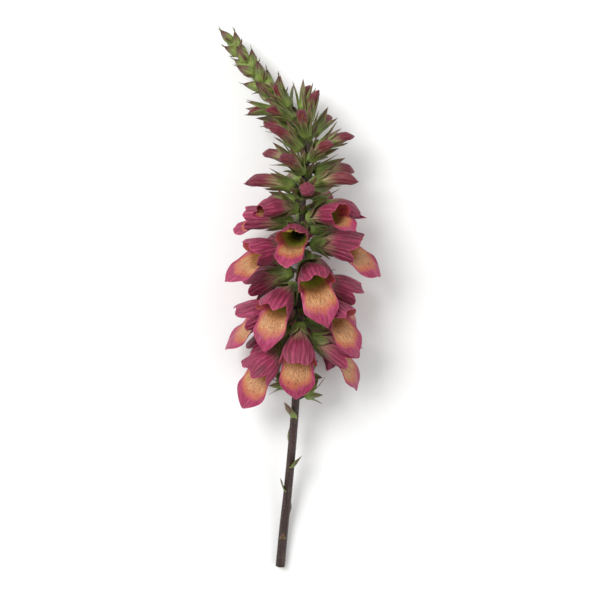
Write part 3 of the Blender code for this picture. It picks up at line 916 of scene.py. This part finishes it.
class FOXGLOVE_OT_stage(Operator):
    """Lays the pale floor, hangs the soft lights and sets the camera straight above the spike"""

    bl_idname = "foxglove.stage"
    bl_label = "Stage, lights and camera"

    def execute(self, context):
        studio = context.scene.foxglove_studio
        mesh = bpy.data.meshes.new("floor")
        corners = np.array([(-1, -1, 0), (1, -1, 0), (1, 1, 0), (-1, 1, 0)]) * FLOOR_REACH
        mesh.from_pydata(corners, [], [(0, 1, 2, 3)])
        mesh.materials.append(floor_paper(studio))
        put("floor", mesh)

        self.lamp("key_light", (-0.75, 0.55, 1.25), studio.key)
        self.lamp("fill_light", (0.95, -0.35, 0.95), studio.fill)
        world = bpy.data.worlds.new("room")
        world.use_nodes = True
        light = world.node_tree.nodes["Background"].inputs
        light["Color"].default_value = (1.0, 1.0, 1.0, 1.0)
        light["Strength"].default_value = studio.sky
        context.scene.world = world
        context.scene.view_settings.view_transform = "Standard"

        data = bpy.data.cameras.new("camera")
        data.lens, data.sensor_width = studio.lens, SENSOR
        camera = put("camera", data)
        camera.location = np.mean(CAD_BOX, axis=0) + (0, 0, studio.width * studio.lens / SENSOR)
        context.scene.camera = camera
        return {"FINISHED"}

    def lamp(self, name, place, power):
        """A round soft light that looks at the middle of the floor."""
        data = bpy.data.lights.new(name, "AREA")
        data.shape, data.size, data.energy = "DISK", LAMP_SIZE, power
        made = put(name, data)
        made.location = place
        made.rotation_euler = (-Vector(place)).to_track_quat("-Z", "Y").to_euler()


class FOXGLOVE_OT_leafy_stem(Operator):
    """Grows the ridged stem with its pedicels, bracts and calyces, also those that have lost their bells"""

    bl_idname = "foxglove.leafy_stem"
    bl_label = "Leafy stem"

    def execute(self, context):
        sizes, colours = context.scene.foxglove_sizes, context.scene.foxglove_colours
        growth = Growth()
        share = np.linspace(0, 1, STEM_RINGS)
        young = rise((np.pad(share, 1, "edge") - 0.80) / 0.2)
        radius = mix(sizes.stem_low, sizes.stem_high, share)
        path, state = STEM.at(share * STEM.length)[0], vector(young, 1, 0)[:, None]
        tube(growth, path, radius, STEM_SIDES, state, STEM_SKIN, STEM_RIBS, RIB_DEPTH)
        for bloom in all_blooms(sizes):
            self.pedicel(growth, bloom)
            self.calyx(growth, bloom.flower, bloom.frame, sepal_spread(bloom.flower), sizes)
            side = BRACT_TURN if bloom.index % 2 else -BRACT_TURN
            pitch = radians(mix(-40, 45, rise(bloom.share * 1.3)))
            length, width = mix(14, 15, bloom.share) * MM, mix(2.1, 3.0, bloom.share) * MM
            self.bract(growth, bloom.distance - 1.0 * MM, bloom.turn + side, length, width, pitch)
        for index in range(SPENT):
            self.spent_calyx(growth, index, sizes)
        for index in range(STUBS):
            share = index / (STUBS - 1)
            length, width = mix(11, 19, share) * MM, mix(2.3, 3.6, share) * MM
            pitch = radians(mix(56, 50, share))
            self.bract(growth, mix(14, 102, share) * MM, index * GOLDEN_ANGLE, length, width, pitch)
        green = leaf_green("sepal_green", tuple(colours.green), colours.purple)
        growth.build("leafy_stem", [stem_skin(colours), green, style_skin()], ["stem"])
        return {"FINISHED"}

    def pedicel(self, growth, bloom):
        """A flower's stalk, an arc from the stem into its calyx, swollen at the end."""
        turned, origin = bloom.frame
        end = origin - turned[:, 2] * 0.9 * MM
        path = arc(STEM.at(bloom.distance)[0], bloom.foot_way, end, turned[:, 2], 12)
        swell = (1.15 + 0.45 * np.linspace(0, 1, len(path)) ** 6) * MM
        state = (rise((bloom.share - 0.45) / 0.5), 0, bloom.flower.habit)
        tube(growth, path, swell, 10, state, STEM_SKIN)

    def calyx(self, growth, flower, place, spread, sizes):
        points, pattern, facts = sepal_grid(flower, spread)
        thickness = sizes.sepal * (1 - 0.6 * facts[..., 1] ** 4)
        state = (0, mix(0.35, 0.0, flower.opening), flower.habit)
        growth.shell(seat(points, place), thickness, pattern, facts, state, (SEPAL_GREEN, SEPAL_GREEN))

    def bract(self, growth, distance, turn, length, width, pitch):
        habit = sin(distance * 900)
        curl, sway = 0.16 + 0.12 * habit, 0.10 * sin(turn * 3)
        place = side_frame(STEM, distance, turn, pitch)
        growth.leaf(length, width, curl, sway, place, (0, 0.25, habit), SEPAL_GREEN)

    def spent_calyx(self, growth, index, sizes):
        """A calyx whose bell has fallen, with its ovary, its old style and its bract."""
        distance = FIRST_BLOOM - 10 * MM - index * SPENT_STEP
        turn = FIRST_TURN - (index + 1) * GOLDEN_ANGLE
        pitch = radians(mix(8, 24, (index * 0.618) % 1))
        turned, _ = place = side_frame(STEM, distance, turn, pitch, PEDICEL_REACH)
        path = STEM.at(distance)[0] + turned[:, 2] * np.linspace(0, PEDICEL_REACH - 0.8 * MM, 8)[:, None]
        tube(growth, path, 1.2 * MM, 10, (0.2, 0, index), STEM_SKIN)
        self.calyx(growth, Flower(34 * MM, 0.9, index - 1.5, sizes.spent_sepal), place, 0.24, sizes)
        rows = np.linspace(0, 1, 16)
        ovary = vector(0, 0.4 * rows, mix(-1.0, 7.5, rows)) * MM
        swell = (0.15 + 2.1 * np.sin(pi * rows**0.8).clip(0) ** 0.7) * MM
        tube(growth, seat(ovary, place), swell, 16, (1.0, 0, index), STEM_SKIN)
        style = vector(0.6 * np.sin(rows * 3), 0.4 + 5 * rows**2, mix(7.0, 17, rows)) * MM
        tube(growth, seat(style, place), mix(0.30, 0.16, rows) * MM, 6, (0, 0, 0), OLD_STYLE)
        self.bract(growth, distance - 1.0 * MM, turn + BRACT_TURN, 13 * MM, 2.1 * MM, radians(30))


class FOXGLOVE_OT_corollas(Operator):
    """Opens the bells one by one, each with its stamens, from the wide lowest ones to the closed buds"""

    bl_idname = "foxglove.corollas"
    bl_label = "Bells"

    def execute(self, context):
        sizes, colours = context.scene.foxglove_sizes, context.scene.foxglove_colours
        finishes = [bell_outside(colours), bell_inside(colours), stamen_yellow(colours), style_skin()]
        for number, bloom in enumerate(all_blooms(sizes), 1):
            growth = Growth()
            shows = bloom.flower.opening > SHOWS_STAMENS
            self.petals(growth, bloom, sizes, *((30, 12, 28, 41) if shows else (18, 8, 18, 25)))
            if shows:
                self.stamens(growth, bloom)
            growth.build(f"bell_{number:02d}", finishes, [f"corolla_{number:02d}"])
        return {"FINISHED"}

    def petals(self, growth, bloom, sizes, tongue, side, hood, rows):
        """The petal tube, with so many steps over each lobe and so many rows from the neck to the lips."""
        flower = bloom.flower
        turn, share = np.meshgrid(lobe_turns(tongue, side, hood), np.linspace(0, 1, rows))
        points, pattern, place, margin = corolla_sheet(flower, turn, share, sizes.wave, bloom.index * 1.7)
        points = above_surface(seat(points[:, :-1], bloom.frame), sizes.petal / 2 + CLEAR)
        thickness = sizes.petal * (1 - 0.55 * share[:, :-1] ** 6)
        state = vector(flower.opening, margin[:, :-1], flower.habit)
        growth.shell(points, thickness, pattern, place[:, :-1], state, (BELL_OUTSIDE, BELL_INSIDE))

    def stamens(self, growth, bloom):
        """Filaments along the roof of the tube, each with a double anther, and a style."""
        rows, run = np.linspace(0, 1, 14), np.linspace(-1, 1, 9)
        room = mix(0.55, 1.0, float(rise((bloom.flower.opening - 0.25) * 1.6)))
        for turn, top in STAMENS:
            heights, insets = mix(0.16, top * room, rows), mix(0.75, 0.62 * room, rows)
            path = bloom.flower.within(radians(turn), heights, insets)
            tube(growth, seat(path, bloom.frame), mix(0.42, 0.30, rows) * MM, 8, (0, 0, 0), STAMEN)
            for side in (-1, 1):
                line = path[-1] + vector(side * (0.75 + 0.35 * run), -0.15, run * 1.5) * MM
                swell = 0.95 * MM * np.sqrt(1 - 0.98 * run**2)
                tube(growth, seat(line, bloom.frame), swell, 10, (1, 0, 0), STAMEN)
        style = bloom.flower.within(pi, mix(0.1, 1.06 * room, rows), mix(0.2, 0.66 * room, rows))
        tube(growth, seat(style, bloom.frame), mix(0.34, 0.24, rows) * MM, 8, (0, 0, 0), STYLE)


class FOXGLOVE_OT_bud_head(Operator):
    """Forms the bent tip: green buds turned round it by the golden angle, each over its bract"""

    bl_idname = "foxglove.bud_head"
    bl_label = "Bud head"

    def execute(self, context):
        sizes, colours = context.scene.foxglove_sizes, context.scene.foxglove_colours
        growth = Growth()
        share = np.linspace(0, 1, 60)
        radius = mix(sizes.head_low, sizes.head_high, share)
        tube(growth, HEAD.at(share * HEAD.length)[0], radius, 20, (1, 0, 0), HEAD_SKIN)
        for index in range(HEAD_BUDS):
            self.bud(growth, index, index / (HEAD_BUDS - 1), sin(index * 2.4))
        green = leaf_green("bud_green", tuple(colours.young_green), colours.purple)
        growth.build("bud_head_fine", [green, stem_skin(colours)], ["bud_head"])
        return {"FINISHED"}

    def bud(self, growth, index, share, tint):
        """One bud with three fine points drawn out at its tip, and the bract under it."""
        distance = HEAD.length * mix(0.05, 0.93, share)
        turn = FIRST_TURN + (BLOOMS + index) * GOLDEN_ANGLE
        length = mix(18, 13, share) * (1 + 0.08 * tint) * MM
        sizes = (length, mix(4.3, 3.1, share) * MM, mix(3.6, 2.6, share) * MM)
        lift = radians(mix(40, 62, share) + 6 * tint)
        place = side_frame(HEAD, distance, turn, lift)
        state = (0, 0.22 + 0.30 * abs(tint), tint)
        growth.body(lambda t, s: bud_body(t, s, *sizes), sepal_turns(5), 26, place, state, BUD_GREEN)
        rows = np.linspace(0, 1, 8)
        for aside in (-1, 0, 1):
            reach = (2.6 + 0.8 * sin(index * 5 + aside)) * MM * rows
            across = aside * (0.9 * rows + 0.3) * MM
            awn = vector(across, BUD_CURL * length + 0.9 * MM * rows**2, length * 0.96 + reach)
            tube(growth, seat(awn, place), mix(0.30, 0.06, rows) * MM, 5, (0, 1, 0), BUD_GREEN)
        place = side_frame(HEAD, distance - 1.5 * MM, turn, lift - radians(28))
        growth.leaf(length * 0.7, 1.6 * MM, 0.14, 0.0, place, (0, 0.45, tint), BUD_GREEN)


class FOXGLOVE_OT_hairs(Operator):
    """Sets the short hairs of the stem and of the sepals"""

    bl_idname = "foxglove.hairs"
    bl_label = "Hairs"

    def execute(self, context):
        sizes = context.scene.foxglove_sizes
        chance = np.random.default_rng(5)
        growth = Growth()
        self.on_stem(growth, sizes, chance)
        for bloom in all_blooms(sizes):
            self.on_sepals(growth, bloom, sizes, chance)
        growth.build("fine_hairs", [hair_down()], (), HAIR_CLEAR)
        return {"FINISHED"}

    def on_stem(self, growth, sizes, chance):
        """Strews hairs evenly over the stem, leaning to its foot."""
        number = sizes.stem_hairs
        distance = chance.uniform(0.01, 1, number) * STEM.length
        point, tangent, outward = side_of(STEM, distance, chance.uniform(0, tau, (number, 1)))
        radius = mix(sizes.stem_low, sizes.stem_high, distance / STEM.length)[:, None]
        leaning = tangent * chance.uniform(-0.5, 0.2, (number, 1))
        way = unit(outward + leaning + chance.normal(0, 0.15, (number, 3)))
        length = sizes.hair * chance.uniform(0.5, 1.2, (number, 1))
        hair(growth, point + outward * radius * 0.97, way, length)

    def on_sepals(self, growth, bloom, sizes, chance):
        """Strews hairs over a calyx, two thirds of them along its rim, leaning to the tips of the sepals."""
        points = sepal_grid(bloom.flower, sepal_spread(bloom.flower))[0]
        last = len(points) - 1
        row = np.minimum(last, chance.integers(3, 3 * last, sizes.sepal_hairs))
        column = chance.integers(0, points.shape[1], sizes.sepal_hairs)
        outward = normals(points)[row, column]
        along = unit(points[row, column] - points[row - 1, column])
        root = seat(points[row, column] + outward * sizes.sepal * 0.15, bloom.frame)
        way = unit(outward * 0.7 + along + chance.normal(0, 0.35, outward.shape)) @ bloom.frame[0].T
        hair(growth, root, way, sizes.hair * chance.uniform(0.5, 1.1, (len(row), 1)))


def hair(growth, root, way, length):
    """Three-sided needles: a ring at the root and all three sides drawn to the tip."""
    side = unit(np.cross(way, (0.3, 0.5, 0.8)))
    over = np.cross(way, side)
    turn = (np.arange(3) / 3 * tau)[:, None]
    ring = root[:, None] + HAIR_RADIUS * (side[:, None] * np.cos(turn) + over[:, None] * np.sin(turn))
    tip = np.repeat((root + way * length)[:, None], 3, 1)
    ends = np.array([[0.0], [1.0]])
    pattern = map_of(np.zeros((2, 4)), ends * MM)
    growth.add(np.stack([ring, tip], 1), pattern, vector(ends, 0, 0), (0, 0, 0), 0)


class FOXGLOVE_PT_panel(Panel):
    """The foxglove spike's sizes, colours and pieces"""

    bl_idname = "FOXGLOVE_PT_panel"
    bl_label = "Foxglove"
    bl_space_type = "VIEW_3D"
    bl_region_type = "UI"
    bl_category = "Foxglove"

    def draw(self, context):
        for label in GROUPS:
            box = self.layout.box()
            group = getattr(context.scene, label)
            for name in group.bl_rna.properties.keys():
                if name not in ("rna_type", "name"):
                    box.prop(group, name, text=name.replace("_", " ").capitalize())
        for operator in OPERATORS:
            self.layout.operator(operator.bl_idname)


OPERATORS = (
    FOXGLOVE_OT_stage,
    FOXGLOVE_OT_leafy_stem,
    FOXGLOVE_OT_corollas,
    FOXGLOVE_OT_bud_head,
    FOXGLOVE_OT_hairs,
)
GROUPS = {"foxglove_sizes": SpikeSizes, "foxglove_colours": SpikeColours, "foxglove_studio": StudioSettings}
CLASSES = (*GROUPS.values(), *OPERATORS, FOXGLOVE_PT_panel)


def register():
    for made in CLASSES:
        bpy.utils.register_class(made)
    for label, group in GROUPS.items():
        setattr(bpy.types.Scene, label, PointerProperty(type=group))


def unregister():
    for label in GROUPS:
        delattr(bpy.types.Scene, label)
    for made in reversed(CLASSES):
        bpy.utils.unregister_class(made)


def main():
    register()
    bpy.ops.foxglove.stage()
    bpy.ops.foxglove.leafy_stem()
    bpy.ops.foxglove.corollas()
    bpy.ops.foxglove.bud_head()
    bpy.ops.foxglove.hairs()


if __name__ == "__main__":
    main()
